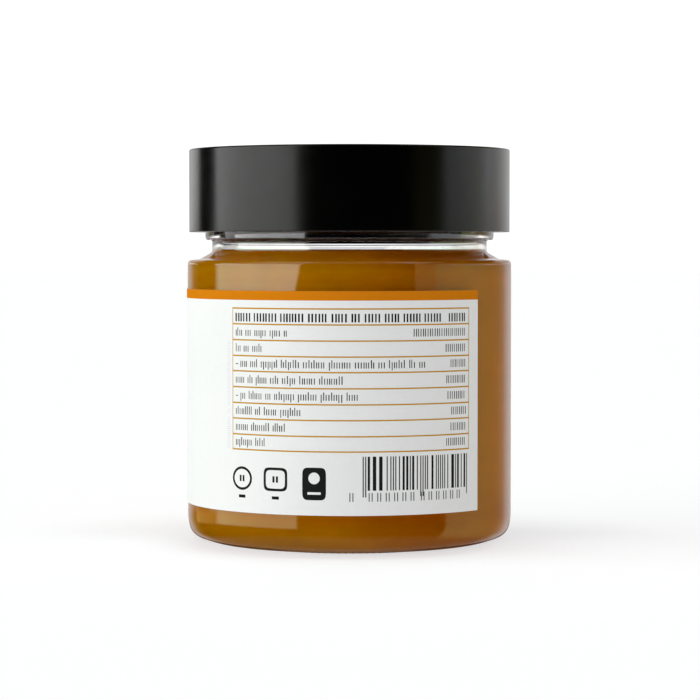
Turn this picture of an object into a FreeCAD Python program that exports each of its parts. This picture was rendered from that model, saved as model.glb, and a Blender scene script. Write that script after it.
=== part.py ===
import FreeCAD, Part
import math
import os
import Sketcher

# A 212 ml class round food jar, closed: clear glass, chutney inside it, a deep black
# twist-off cap and a paper label wrapped most of the way round.  Millimetres, +Z up,
# origin on the table under the jar's own axis.  The labelled face looks along -Y.

doc = FreeCAD.newDocument("chutney_jar")

# ---------------------------------------------------------------- driving sizes
SIZES = [
    # glass, outside
    ("body_radius", 35.08, "outer radius of the straight body"),
    ("bearing_in_radius", 22.0, "inner edge of the ring that the jar stands on"),
    ("bearing_radius", 23.8, "outer edge of that ring"),
    ("heel_low_radius", 30.56, "first corner of the heel, radius"),
    ("heel_low_height", 0.88, "first corner of the heel, height"),
    ("heel_turn_radius", 34.21, "second corner of the heel, radius"),
    ("heel_turn_height", 2.11, "second corner of the heel, height"),
    ("heel_top_height", 5.1, "corner where the heel meets the body"),
    ("heel_low_round", 6.0, "rounding of the first heel corner"),
    ("heel_turn_round", 3.0, "rounding of the second heel corner"),
    ("heel_top_round", 9.0, "rounding into the body"),
    ("shoulder_radius", 35.06, "outer corner of the shoulder, radius"),
    ("shoulder_height", 61.16, "outer corner of the shoulder, height"),
    ("shoulder_round", 0.95, "rounding of that corner"),
    ("ledge_radius", 32.25, "inner end of the flat part of the shoulder"),
    ("ledge_height", 61.55, "its height"),
    ("ledge_round", 1.6, "rounding there"),
    ("neck_radius", 29.72, "outer radius of the neck"),
    ("neck_foot_height", 62.98, "foot of the neck"),
    ("neck_foot_round", 0.8, "fillet at the foot of the neck"),
    ("finish_height", 65.55, "lower edge of the finish ring above the neck"),
    ("finish_round", 0.5, "rounding of the ring's lower edge"),
    ("neck_top_radius", 29.82, "neck, radius at its top"),
    ("neck_top_height", 65.5, "top of the neck"),
    ("neck_top_round", 0.5, "fillet between neck and ring"),
    ("neck_flare_height", 64.49, "height from which the neck leans outwards"),
    ("neck_flare_round", 9.0, "rounding there"),
    ("finish_low_radius", 31.17, "finish ring, radius at its lower edge"),
    ("ring_top_radius", 31.32, "finish ring, radius at its upper edge"),
    ("ring_top_height", 68.5, "upper edge of the ring"),
    ("ring_top_round", 0.8, "rounding there"),
    ("finish_top_radius", 30.6, "finish, radius from above the ring up to the rim"),
    ("finish_draft_height", 70.1, "top of the slope above the ring"),
    ("finish_draft_round", 2.0, "rounding there"),
    ("rim_height", 84.6, "top of the glass, against the cap"),
    ("rim_round", 0.9, "rounding of the rim's edges"),
    # glass, inside
    ("bore_radius", 28.2, "straight bore of the neck and finish"),
    ("throat_height", 62.2, "foot of the bore"),
    ("throat_round", 1.6, "rounding there"),
    ("wall_slope_height", 58.6, "inside corner under the shoulder, height"),
    ("wall_slope_round", 3.0, "rounding of that corner"),
    ("inner_radius", 32.5, "inner radius of the body"),
    ("inner_heel_height", 2.9, "floor of the jar at its edge"),
    ("inner_heel_round", 5.0, "rounding between wall and floor"),
    ("floor_height", 4.6, "floor of the jar at its centre"),
    ("punt_radius", 19.4, "edge of the hollow under the base"),
    ("punt_edge_height", 1.3, "height of the hollow at its edge"),
    ("punt_height", 2.4, "height of the hollow at its centre"),
    ("bearing_round", 0.5, "rounding of the standing ring"),
    ("punt_round", 2.0, "rounding of the hollow's edge"),
    # chutney
    ("fill_height", 63.42, "level of the chutney"),
    # cap
    ("cap_radius", 34.67, "outer radius of the cap"),
    ("cap_bottom", 67.22, "lower edge of the skirt"),
    ("cap_top", 85.05, "top of the cap"),
    ("cap_top_round", 0.35, "outer rounding of the top corner"),
    ("cap_sheet", 0.45, "thickness of the cap's sheet"),
    ("curl_width", 1.5, "width of the rolled lower edge"),
    ("curl_height", 1.55, "height of the rolled lower edge"),
    ("curl_round", 0.2, "rounding of the rolled edge"),
    ("panel_step_radius", 26.7, "top of the step down to the middle panel"),
    ("panel_radius", 25.6, "foot of that step"),
    ("panel_depth", 0.85, "how far the panel lies below the rim of the cap"),
    ("step_round", 0.5, "rounding at the step, top"),
    ("button_radius", 11.6, "edge of the button in the middle"),
    ("button_ramp", 1.2, "width of the button's sloping edge"),
    ("button_depth", 0.35, "how far the button is drawn down"),
    ("button_round", 1.2, "rounding at the button's edge"),
    # label
    ("label_bottom", 9.05, "lower edge of the label"),
    ("label_top", 55.05, "upper edge of the label"),
    ("label_paper", 0.15, "thickness of the label"),
    ("label_angle", 311.04, "how far the label goes round, degrees"),
    ("label_start", 8.4, "where it starts, degrees from +X towards +Y"),
]

sheet = doc.addObject("Spreadsheet::Sheet", "Sizes")
sheet.Label = "Sizes"
VALUE = {}
for row, (alias, number, meaning) in enumerate(SIZES, start=1):
    sheet.set("A%d" % row, alias)
    sheet.set("B%d" % row, repr(float(number)))
    sheet.setAlias("B%d" % row, alias)
    sheet.set("C%d" % row, meaning)
    VALUE[alias] = float(number)
doc.recompute()


def total(terms):
    """Value of a sum of named sizes: 'name' adds, '-name' takes away."""
    if not terms:
        return 0.0
    return sum(-VALUE[t[1:]] if t.startswith("-") else VALUE[t] for t in terms)


def formula(terms):
    """The same sum as an expression on the sheet."""
    text = ""
    for t in terms:
        if t.startswith("-"):
            text += " - Sizes." + t[1:]
        else:
            text += (" + " if text else "") + "Sizes." + t
    return text


# ---------------------------------------------------------------- sketch helper
def origin_plane(body, role):
    for feature in body.Origin.OriginFeatures:
        if feature.Role == role:
            return feature
    raise RuntimeError("no plane " + role)


def draw_profile(body, name, corners):
    """A closed half section in the XZ plane.

    corners: (tag, radius terms, height terms, rounding terms or None), in order.
    Each corner is pinned by two dimensions, and each rounding is an arc tangent
    to both its lines; every one of these is bound to the sheet.
    """
    sketch = body.newObject("Sketcher::SketchObject", name)
    sketch.AttachmentSupport = [(origin_plane(body, "XZ_Plane"), "")]
    sketch.MapMode = "FlatFace"

    count = len(corners)
    point = [FreeCAD.Vector(total(c[1]), total(c[2]), 0) for c in corners]
    round_ = [total(c[3]) if c[3] else 0.0 for c in corners]

    # tangent points and arc centres of the rounded corners
    enter, leave, centre = list(point), list(point), [None] * count
    for i in range(count):
        if round_[i] <= 0:
            continue
        back = (point[i - 1] - point[i]).normalize()
        ahead = (point[(i + 1) % count] - point[i]).normalize()
        half = back.getAngle(ahead) / 2.0
        run = round_[i] / math.tan(half)
        enter[i] = point[i] + back * run
        leave[i] = point[i] + ahead * run
        middle = (back + ahead).normalize()
        centre[i] = point[i] + middle * (round_[i] / math.sin(half))

    lines = []
    for i in range(count):
        j = (i + 1) % count
        room = (point[j] - point[i]).Length
        used = (leave[i] - point[i]).Length + (enter[j] - point[j]).Length
        if used > room - 1e-6:
            raise RuntimeError("%s: no room for the roundings between %s and %s" %
                               (name, corners[i][0], corners[j][0]))
        lines.append(sketch.addGeometry(Part.LineSegment(leave[i], enter[j]), False))

    def bind(constraint, title, terms):
        index = sketch.addConstraint(constraint)
        sketch.renameConstraint(index, title)
        sketch.setExpression("Constraints." + title, formula(terms))

    def pin(geo, pos, tag, terms_r, terms_z):
        if terms_r:
            bind(Sketcher.Constraint("DistanceX", -1, 1, geo, pos, total(terms_r)),
                 tag + "_radius", terms_r)
        else:
            sketch.addConstraint(Sketcher.Constraint("PointOnObject", geo, pos, -2))
        if terms_z:
            bind(Sketcher.Constraint("DistanceY", -1, 1, geo, pos, total(terms_z)),
                 tag + "_height", terms_z)
        else:
            sketch.addConstraint(Sketcher.Constraint("PointOnObject", geo, pos, -1))

    for i in range(count):
        tag, terms_r, terms_z, terms_round = corners[i]
        before, after = lines[i - 1], lines[i]
        if round_[i] <= 0:
            sketch.addConstraint(Sketcher.Constraint("Coincident", before, 2, after, 1))
            pin(after, 1, tag, terms_r, terms_z)
            continue
        a0 = math.atan2(enter[i].y - centre[i].y, enter[i].x - centre[i].x)
        a1 = math.atan2(leave[i].y - centre[i].y, leave[i].x - centre[i].x)
        sweep = (a1 - a0) % (2 * math.pi)
        ccw = sweep < math.pi
        if not ccw:
            a0, a1 = a1, a0
        circle = Part.Circle(centre[i], FreeCAD.Vector(0, 0, 1), round_[i])
        arc = sketch.addGeometry(Part.ArcOfCircle(circle, a0, a1), False)
        first, last = (1, 2) if ccw else (2, 1)
        corner = sketch.addGeometry(Part.Point(point[i]), True)
        pin(corner, 1, tag, terms_r, terms_z)
        sketch.addConstraint(Sketcher.Constraint("PointOnObject", corner, 1, before))
        sketch.addConstraint(Sketcher.Constraint("PointOnObject", corner, 1, after))
        sketch.addConstraint(Sketcher.Constraint("Tangent", before, 2, arc, first))
        sketch.addConstraint(Sketcher.Constraint("Tangent", arc, last, after, 1))
        bind(Sketcher.Constraint("Radius", arc, round_[i]), tag + "_round", terms_round)
    return sketch


def turned(label, corners):
    """A body turned from one closed half section."""
    body = doc.addObject("PartDesign::Body", label)
    body.Label = label
    sketch = draw_profile(body, label + "_section", corners)
    doc.recompute()
    solid = body.newObject("PartDesign::Revolution", label + "_turned")
    solid.Profile = sketch
    solid.ReferenceAxis = (sketch, ["V_Axis"])
    solid.Angle = 360.0
    body.Tip = solid
    sketch.Visibility = False
    body.Placement = FreeCAD.Placement(FreeCAD.Vector(0, 0, 0), FreeCAD.Rotation())
    doc.recompute()
    return body


# ---------------------------------------------------------------- glass jar
# Inside of the jar, from the middle of its floor up to the rim.
INSIDE = [
    ("floor_middle", [], ["floor_height"], None),
    ("floor_edge", ["inner_radius"], ["inner_heel_height"], ["inner_heel_round"]),
    ("inner_shoulder", ["inner_radius"], ["wall_slope_height"], ["wall_slope_round"]),
    ("throat", ["bore_radius"], ["throat_height"], ["throat_round"]),
]
# Outside, from the rim down to the hollow under the base.
OUTSIDE = [
    ("rim_inner", ["bore_radius"], ["rim_height"], ["rim_round"]),
    ("rim_outer", ["finish_top_radius"], ["rim_height"], ["rim_round"]),
    ("finish_draft", ["finish_top_radius"], ["finish_draft_height"], ["finish_draft_round"]),
    ("ring_top", ["ring_top_radius"], ["ring_top_height"], ["ring_top_round"]),
    ("finish_edge", ["finish_low_radius"], ["finish_height"], ["finish_round"]),
    ("neck_top", ["neck_top_radius"], ["neck_top_height"], ["neck_top_round"]),
    ("neck_flare", ["neck_radius"], ["neck_flare_height"], ["neck_flare_round"]),
    ("neck_foot", ["neck_radius"], ["neck_foot_height"], ["neck_foot_round"]),
    ("ledge", ["ledge_radius"], ["ledge_height"], ["ledge_round"]),
    ("shoulder", ["shoulder_radius"], ["shoulder_height"], ["shoulder_round"]),
    ("heel_top", ["body_radius"], ["heel_top_height"], ["heel_top_round"]),
    ("heel_turn", ["heel_turn_radius"], ["heel_turn_height"], ["heel_turn_round"]),
    ("heel_low", ["heel_low_radius"], ["heel_low_height"], ["heel_low_round"]),
    ("bearing_outer", ["bearing_radius"], [], ["bearing_round"]),
    ("bearing_inner", ["bearing_in_radius"], [], ["bearing_round"]),
    ("punt_edge", ["punt_radius"], ["punt_edge_height"], ["punt_round"]),
    ("punt_middle", [], ["punt_height"], None),
]
glass = turned("glass_jar", INSIDE + OUTSIDE)

# ---------------------------------------------------------------- chutney
# Fills the jar exactly, up to its level in the foot of the neck.
chutney_block = turned("chutney_block_work", [
    ("floor_middle", [], ["floor_height"], None),
    ("floor_edge", ["inner_radius"], ["inner_heel_height"], ["inner_heel_round"]),
    ("inner_shoulder", ["inner_radius"], ["wall_slope_height"], ["wall_slope_round"]),
    ("throat", ["bore_radius"], ["throat_height"], ["throat_round"]),
    ("bore_top", ["bore_radius"], ["rim_height"], None),
    ("axis_top", [], ["rim_height"], None),
])
# everything above the level is taken off
above = doc.addObject("Part::Cylinder", "above_level")
above.setExpression("Radius", "Sizes.body_radius")
above.setExpression("Height", "Sizes.rim_height")
above.setExpression("Placement.Base.z", "Sizes.fill_height")
chutney = doc.addObject("Part::Cut", "chutney")
chutney.Label = "chutney"
chutney.Base = chutney_block
chutney.Tool = above

# ---------------------------------------------------------------- cap
# One piece of lacquered sheet: flat rim over the glass, a sunken panel with its
# button drawn down, a tall plain skirt and a rolled lower edge.
cap = turned("cap", [
    ("button_middle", [], ["cap_top", "-panel_depth", "-button_depth"], None),
    ("button_edge", ["button_radius"], ["cap_top", "-panel_depth", "-button_depth"],
     ["button_round"]),
    ("button_top", ["button_radius", "button_ramp"], ["cap_top", "-panel_depth"],
     ["button_round"]),
    ("panel_edge", ["panel_radius"], ["cap_top", "-panel_depth"], ["step_round"]),
    ("step_top", ["panel_step_radius"], ["cap_top"], ["step_round"]),
    ("top_corner", ["cap_radius"], ["cap_top"], ["cap_top_round"]),
    ("curl_outer", ["cap_radius"], ["cap_bottom"], ["curl_round"]),
    ("curl_inner", ["cap_radius", "-curl_width"], ["cap_bottom"], ["curl_round"]),
    ("curl_top", ["cap_radius", "-curl_width"], ["cap_bottom", "curl_height"], None),
    ("skirt_foot", ["cap_radius", "-cap_sheet"], ["cap_bottom", "curl_height"], None),
    ("inside_corner", ["cap_radius", "-cap_sheet"], ["cap_top", "-cap_sheet"], None),
    ("step_under", ["panel_step_radius"], ["cap_top", "-cap_sheet"], None),
    ("panel_under", ["panel_radius"], ["cap_top", "-cap_sheet", "-panel_depth"], None),
    ("button_under", ["button_radius", "button_ramp"],
     ["cap_top", "-cap_sheet", "-panel_depth"], None),
    ("button_low", ["button_radius"],
     ["cap_top", "-cap_sheet", "-panel_depth", "-button_depth"], None),
    ("button_foot", [],
     ["cap_top", "-cap_sheet", "-panel_depth", "-button_depth"], None),
])

# ---------------------------------------------------------------- label
label = doc.addObject("PartDesign::Body", "label")
label.Label = "label"
strip = draw_profile(label, "label_section", [
    ("low_inner", ["body_radius"], ["label_bottom"], None),
    ("low_outer", ["body_radius", "label_paper"], ["label_bottom"], None),
    ("high_outer", ["body_radius", "label_paper"], ["label_top"], None),
    ("high_inner", ["body_radius"], ["label_top"], None),
])
doc.recompute()
wrap = label.newObject("PartDesign::Revolution", "label_wrap")
wrap.Profile = strip
wrap.ReferenceAxis = (strip, ["V_Axis"])
wrap.setExpression("Angle", "Sizes.label_angle")
label.Tip = wrap
strip.Visibility = False
doc.recompute()
# the strip has to be turned from +X towards +Y
middle = math.degrees(math.atan2(wrap.Shape.CenterOfMass.y, wrap.Shape.CenterOfMass.x)) % 360
if abs(middle - VALUE["label_angle"] / 2.0) > 1.0:
    wrap.Reversed = True
label.Placement = FreeCAD.Placement(
    FreeCAD.Vector(0, 0, 0), FreeCAD.Rotation(FreeCAD.Vector(0, 0, 1), VALUE["label_start"]))
label.setExpression("Placement.Rotation.Angle", "Sizes.label_start")
doc.recompute()

# ---------------------------------------------------------------- check and write
NODES = [glass, chutney, cap, label]

for item in doc.Objects:
    state = list(getattr(item, "State", []))
    if "Invalid" in state or "Error" in state:
        raise RuntimeError("%s failed: %s" % (item.Name, state))
    if item.TypeId == "Sketcher::SketchObject" and item.solve() != 0:
        raise RuntimeError("%s isn't solved" % item.Name)

for item in NODES:
    shape = item.Shape
    if shape.isNull() or not shape.isValid() or len(shape.Solids) != 1:
        raise RuntimeError("%s has no single valid solid" % item.Label)

names = [item.Label for item in NODES]
for i in range(len(NODES)):
    for j in range(i + 1, len(NODES)):
        shared = NODES[i].Shape.common(NODES[j].Shape).Volume
        if shared > 0.5:
            raise RuntimeError("%s and %s overlap by %.3f mm3" % (names[i], names[j], shared))

os.makedirs("parts", exist_ok=True)
for item in NODES:
    box = item.Shape.BoundBox
    print("%-10s volume %9.1f mm3  x %.2f..%.2f  y %.2f..%.2f  z %.2f..%.2f" % (
        item.Label, item.Shape.Volume, box.XMin, box.XMax, box.YMin, box.YMax,
        box.ZMin, box.ZMax))
    item.Shape.exportStep("parts/%s.step" % item.Label)
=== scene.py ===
import math
import random

import bpy
import numpy as np
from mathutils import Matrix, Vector
from mathutils.geometry import delaunay_2d_cdt


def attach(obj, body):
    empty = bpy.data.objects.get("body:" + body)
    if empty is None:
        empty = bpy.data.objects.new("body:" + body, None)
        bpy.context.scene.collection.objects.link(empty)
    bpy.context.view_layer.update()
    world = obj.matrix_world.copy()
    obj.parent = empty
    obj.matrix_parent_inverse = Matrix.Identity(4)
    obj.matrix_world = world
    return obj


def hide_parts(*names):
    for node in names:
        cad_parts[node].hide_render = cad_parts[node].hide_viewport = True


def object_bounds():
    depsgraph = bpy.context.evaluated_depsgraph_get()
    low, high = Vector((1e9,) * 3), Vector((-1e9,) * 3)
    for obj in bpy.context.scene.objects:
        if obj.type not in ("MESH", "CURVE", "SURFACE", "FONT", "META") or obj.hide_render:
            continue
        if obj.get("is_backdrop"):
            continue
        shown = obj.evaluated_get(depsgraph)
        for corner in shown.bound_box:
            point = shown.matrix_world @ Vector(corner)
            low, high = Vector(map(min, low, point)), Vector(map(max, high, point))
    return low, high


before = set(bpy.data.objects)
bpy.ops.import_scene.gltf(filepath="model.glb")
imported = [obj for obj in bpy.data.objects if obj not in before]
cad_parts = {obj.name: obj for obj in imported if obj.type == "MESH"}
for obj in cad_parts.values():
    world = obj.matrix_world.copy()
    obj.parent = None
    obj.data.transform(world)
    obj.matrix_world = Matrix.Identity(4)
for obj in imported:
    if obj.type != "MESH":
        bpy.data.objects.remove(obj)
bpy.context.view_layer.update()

MM = 0.001
scene = bpy.context.scene


# ---------------------------------------------------------------- camera
cam_data = bpy.data.cameras.new("camera")
cam_data.sensor_width = 36.0
cam_data.lens = 137.4
cam_data.clip_start = 0.05
cam_data.clip_end = 60.0
camera = bpy.data.objects.new("camera", cam_data)
camera.location = (0.00012, -0.580, 0.0643)
camera.rotation_euler = (math.pi / 2 - 0.039, 0.0, 0.0)
scene.collection.objects.link(camera)
scene.camera = camera


# ---------------------------------------------------------------- turned shapes
def outline(corners, arc_step=8.0, line_step=2.0, closed=True):
    """Points (r, z, nr, nz) along a half section, in millimetres.

    corners: (r, z, rounding). Each rounding becomes an arc tangent to both lines. The
    section runs so that its outside is on the right of its direction."""
    n = len(corners)
    p = [np.array(c[:2], float) for c in corners]
    rad = [c[2] for c in corners]
    enter, leave, centre = list(p), list(p), [None] * n
    for i in range(n):
        if rad[i] <= 0 or (not closed and i in (0, n - 1)):
            continue
        a = p[i - 1] - p[i]
        b = p[(i + 1) % n] - p[i]
        a /= np.linalg.norm(a)
        b /= np.linalg.norm(b)
        half = math.acos(max(-1.0, min(1.0, float(a @ b)))) / 2
        enter[i] = p[i] + a * rad[i] / math.tan(half)
        leave[i] = p[i] + b * rad[i] / math.tan(half)
        m = a + b
        m /= np.linalg.norm(m)
        centre[i] = p[i] + m * rad[i] / math.sin(half)
    out = []
    for i in range(n):
        j = (i + 1) % n
        if centre[i] is not None:
            a0 = math.atan2(*(enter[i] - centre[i])[::-1])
            a1 = math.atan2(*(leave[i] - centre[i])[::-1])
            sweep = (a1 - a0 + math.pi) % (2 * math.pi) - math.pi
            steps = max(2, int(math.ceil(abs(math.degrees(sweep)) / arc_step)))
            # an arc that turns left bulges outwards, one that turns right is hollow
            sign = 1.0 if sweep > 0 else -1.0
            for k in range(steps + 1):
                t = a0 + sweep * k / steps
                d = np.array([math.cos(t), math.sin(t)])
                q = centre[i] + d * rad[i]
                out.append((q[0], q[1], sign * d[0], sign * d[1]))
        elif not closed and i in (0, n - 1):
            e = p[1] - p[0] if i == 0 else p[-1] - p[-2]
            e /= np.linalg.norm(e)
            out.append((p[i][0], p[i][1], e[1], -e[0]))
        if not closed and i == n - 1:
            break
        e = enter[j] - leave[i]
        length = float(np.linalg.norm(e))
        if length > 1e-6:
            e /= length
            steps = max(1, int(math.ceil(length / line_step)))
            for k in range(1, steps):
                q = leave[i] + e * length * k / steps
                out.append((q[0], q[1], e[1], -e[0]))
    return out


def lathe(name, rings, segments, shade_from=None):
    """A closed body turned about the axis from an open list of rings that starts and ends
    on the axis. rings: (r, z, nr, nz) in millimetres, outside on the right."""
    verts, normals, faces = [], [], []
    angle = np.arange(segments) * (2 * math.pi / segments)
    ca, sa = np.cos(angle), np.sin(angle)
    rows = []
    for r, z, nr, nz in rings:
        if r < 1e-6:
            rows.append([len(verts)])
            verts.append((0.0, 0.0, z))
            normals.append((0.0, 0.0, 1.0 if nz > 0 else -1.0))
        else:
            rows.append(list(range(len(verts), len(verts) + segments)))
            for c, s in zip(ca, sa):
                verts.append((r * c, r * s, z))
                normals.append((nr * c, nr * s, nz))
    for a, b in zip(rows, rows[1:]):
        if len(a) == 1 and len(b) == 1:
            continue
        for k in range(segments):
            m = (k + 1) % segments
            if len(a) == 1:
                faces.append((a[0], b[m], b[k]))
            elif len(b) == 1:
                faces.append((a[k], a[m], b[0]))
            else:
                faces.append((a[k], a[m], b[m], b[k]))
    return build(name, verts, faces, normals)


def build(name, verts, faces, normals=None, mats=None, smooth=True):
    """A mesh object from points in millimetres, with its own vertex normals."""
    me = bpy.data.meshes.new(name)
    me.from_pydata([(x * MM, y * MM, z * MM) for x, y, z in verts], [], faces)
    me.validate()
    if smooth:
        me.polygons.foreach_set("use_smooth", [True] * len(me.polygons))
    if mats is not None:
        me.polygons.foreach_set("material_index", mats)
    me.update()
    if normals is not None:
        me.normals_split_custom_set_from_vertices([Vector(n).normalized() for n in normals])
    ob = bpy.data.objects.new(name, me)
    scene.collection.objects.link(ob)
    return ob


# ---------------------------------------------------------------- the jar's own sizes
BODY_R = 35.08
FILL = 63.42
LABEL_R = 35.23
LABEL_LOW, LABEL_HIGH = 9.05, 55.05

INSIDE = [
    (0.0, 4.6, 0.0), (32.5, 2.9, 5.0), (32.5, 58.6, 3.0), (28.2, 62.2, 1.6),
]
OUTSIDE = [
    (28.2, 84.6, 0.9), (30.6, 84.6, 0.9), (30.6, 70.1, 2.0), (31.32, 68.5, 0.8),
    (31.17, 65.55, 0.5), (29.82, 65.5, 0.5), (29.72, 64.49, 9.0),
    (29.72, 62.98, 0.8), (32.25, 61.55, 1.6), (35.06, 61.16, 0.95), (35.08, 5.1, 9.0),
    (34.21, 2.11, 3.0), (30.56, 0.88, 6.0), (23.8, 0.0, 0.5), (22.0, 0.0, 0.5),
    (19.4, 1.3, 2.0), (0.0, 2.4, 0.0),
]


def glass_mesh():
    """The jar: one closed wall, with short ridges pressed into the ring it stands on."""
    ridges, fine, coarse, depth = 106, 848, 424, 0.34
    # the section runs inside upwards, over the rim and down: its outside is on the left,
    # so it is walked backwards
    corners = (INSIDE + OUTSIDE)[::-1]
    rings = outline(corners, arc_step=6.0, line_step=1.6, closed=False)
    verts, normals, faces, rows = [], [], [], []
    for r, z, nr, nz in rings:
        low = z < 2.2 and 16.6 < r < 34.6
        count = 1 if r < 1e-6 else fine if low else coarse
        start = len(verts)
        rows.append((start, count))
        if count == 1:
            verts.append((0.0, 0.0, z))
            normals.append((0.0, 0.0, 1.0 if nz > 0 else -1.0))
            continue
        for k in range(count):
            t = 2 * math.pi * k / count
            zz = z
            if count == fine and z < depth:
                wave = 0.5 - 0.5 * math.cos(ridges * t)
                wave = wave * wave * (3 - 2 * wave)
                zz = z + (depth - z) * wave
            verts.append((r * math.cos(t), r * math.sin(t), zz))
            normals.append((nr * math.cos(t), nr * math.sin(t), nz))
    for (a, na), (b, nb) in zip(rows, rows[1:]):
        if na == 1:
            for k in range(nb):
                faces.append((a, b + k, b + (k + 1) % nb))
        elif nb == 1:
            for k in range(na):
                faces.append((a + k, b, a + (k + 1) % na))
        elif na == nb:
            for k in range(na):
                m = (k + 1) % na
                faces.append((a + k, b + k, b + m, a + m))
        elif na > nb:
            for k in range(nb):
                m = (k + 1) % nb
                faces.append((a + 2 * k, b + k, a + 2 * k + 1))
                faces.append((a + 2 * k + 1, b + k, b + m))
                faces.append((a + 2 * k + 1, b + m, a + (2 * k + 2) % na))
        else:
            for k in range(na):
                m = (k + 1) % na
                faces.append((a + k, b + 2 * k, b + 2 * k + 1))
                faces.append((a + k, b + 2 * k + 1, a + m))
                faces.append((a + m, b + 2 * k + 1, b + (2 * k + 2) % nb))
    return verts, faces, normals, depth


def facing_out(verts, faces):
    """The signed volume of a closed mesh; negative if its faces look inwards."""
    v = np.array(verts)
    total = 0.0
    for f in faces:
        for k in range(1, len(f) - 1):
            a, b, c = v[f[0]], v[f[k]], v[f[k + 1]]
            total += float(a @ np.cross(b, c))
    return total / 6.0


gv, gf, gn, stipple_depth = glass_mesh()
if facing_out(gv, gf) < 0:
    gf = [tuple(reversed(f)) for f in gf]
glass = build("glass_jar_looks", gv, gf)
# analytic normals everywhere, except on the ridges, which keep those of their own faces
auto = np.zeros(len(gv) * 3)
glass.data.vertex_normals.foreach_get("vector", auto)
auto = auto.reshape(-1, 3)
exact = np.array(gn)
agree = np.sum(auto * exact, axis=1)
if np.median(agree) < 0:
    exact = -exact
low_ring = np.array([v[2] < 1.1 and 16.6 < math.hypot(v[0], v[1]) < 26.0 for v in gv])
exact[low_ring] = auto[low_ring]
glass.data.normals_split_custom_set_from_vertices([Vector(n) for n in exact])


# ---------------------------------------------------------------- chutney
def chutney_mesh():
    """Fills the jar and reaches a tenth of a millimetre into its wall, with its top a
    little raised where it meets the glass."""
    into = 0.12
    corners = [
        (0.0, 4.6 - into, 0.0), (32.5 + into, 2.9 - into, 5.0), (32.5 + into, 58.6 + 0.05, 3.0),
        (28.2 + into, 62.2 + 0.05, 1.6), (28.2 + into, FILL + 0.10, 0.05),
    ]
    rings = outline(corners + [(28.2 - 0.35, FILL + 0.03, 0.25), (28.2 - 2.2, FILL - 0.02, 2.0),
                               (0.0, FILL - 0.02, 0.0)],
                    arc_step=7.0, line_step=1.5, closed=False)
    return rings


chutney_rings = chutney_mesh()
chutney = lathe("chutney_looks", chutney_rings, 360)

# a gently uneven top, as spooned food settles
rng = np.random.default_rng(7)
waves = [(rng.uniform(0.12, 0.55), rng.uniform(0, 2 * math.pi), rng.uniform(0, 2 * math.pi),
          rng.uniform(0.02, 0.055)) for _ in range(14)]
for v in chutney.data.vertices:
    r = math.hypot(v.co.x, v.co.y) / MM
    if v.co.z > (FILL - 0.3) * MM and r < 26.5:
        fade = min(1.0, max(0.0, (26.5 - r) / 5.0))
        x, y = v.co.x / MM, v.co.y / MM
        lift = sum(a * math.sin(k * (x * math.cos(d) + y * math.sin(d)) + ph)
                   for k, d, ph, a in waves)
        v.co.z += lift * fade * MM * 0.6
chutney.data.update()


# ---------------------------------------------------------------- cap
CAP_R, CAP_LOW, CAP_HIGH, SHEET = 34.67, 67.22, 85.05, 0.45
cap_rings = outline([
    (0.0, CAP_HIGH - 0.85 - 0.35, 0.0),
    (11.6, CAP_HIGH - 0.85 - 0.35, 1.2),
    (12.8, CAP_HIGH - 0.85, 1.2),
    (25.6, CAP_HIGH - 0.85, 0.5),
    (26.7, CAP_HIGH, 0.5),
    (CAP_R, CAP_HIGH, 0.35),
    (CAP_R, CAP_LOW, 0.2),
    (CAP_R - 1.5, CAP_LOW, 0.2),
    (CAP_R - 1.5, CAP_LOW + 1.55, 0.15),
    (CAP_R - SHEET, CAP_LOW + 1.55, 0.12),
    (CAP_R - SHEET, CAP_HIGH - SHEET, 0.25),
    (26.7, CAP_HIGH - SHEET, 0.3),
    (25.6, CAP_HIGH - SHEET - 0.85, 0.3),
    (12.8, CAP_HIGH - SHEET - 0.85, 0.8),
    (11.6, CAP_HIGH - SHEET - 0.85 - 0.35, 0.8),
    (0.0, CAP_HIGH - SHEET - 0.85 - 0.35, 0.0),
][::-1], arc_step=9.0, line_step=1.2, closed=False)
cap = lathe("cap_looks", cap_rings, 480)


def settle(ob):
    """Turns the faces outwards, and the normals with them, if the solid came out inside out."""
    me = ob.data
    volume = facing_out([tuple(v.co / MM) for v in me.vertices],
                        [tuple(p.vertices) for p in me.polygons])
    if volume < 0:
        me.flip_normals()
    return volume


for ob, rings in ((chutney, chutney_rings), (cap, cap_rings)):
    settle(ob)
    me = ob.data
    auto = np.zeros(len(me.vertices) * 3)
    me.vertex_normals.foreach_get("vector", auto)
    auto = auto.reshape(-1, 3)
    exact = []
    segs = 360 if ob is chutney else 480
    for r, z, nr, nz in rings:
        if r < 1e-6:
            exact.append((0.0, 0.0, 1.0 if nz > 0 else -1.0))
        else:
            for k in range(segs):
                t = 2 * math.pi * k / segs
                exact.append((nr * math.cos(t), nr * math.sin(t), nz))
    exact = np.array(exact)
    if np.median(np.sum(auto * exact, axis=1)) < 0:
        exact = -exact
    if ob is chutney:
        top = np.array([v.co.z > (FILL - 0.5) * MM and math.hypot(v.co.x, v.co.y) < 27.4 * MM
                        for v in me.vertices])
        exact[top] = auto[top]
    me.normals_split_custom_set_from_vertices([Vector(n) for n in exact])


# ---------------------------------------------------------------- label print
PAPER, ORANGE, BLACK, LILAC, FRUIT, BLUSH, LEAF, LEAF_DARK, RULE = range(9)
S_LEFT, S_RIGHT = -(math.radians(311.04) * LABEL_R) + math.radians(49.44) * LABEL_R, \
    math.radians(49.44) * LABEL_R
shapes = []  # (material, [(s, z), ...]); later ones lie over earlier ones
rnd = random.Random(41)


def box(mat, s0, z0, s1, z1):
    shapes.append((mat, [(s0, z0), (s1, z0), (s1, z1), (s0, z1)]))


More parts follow.
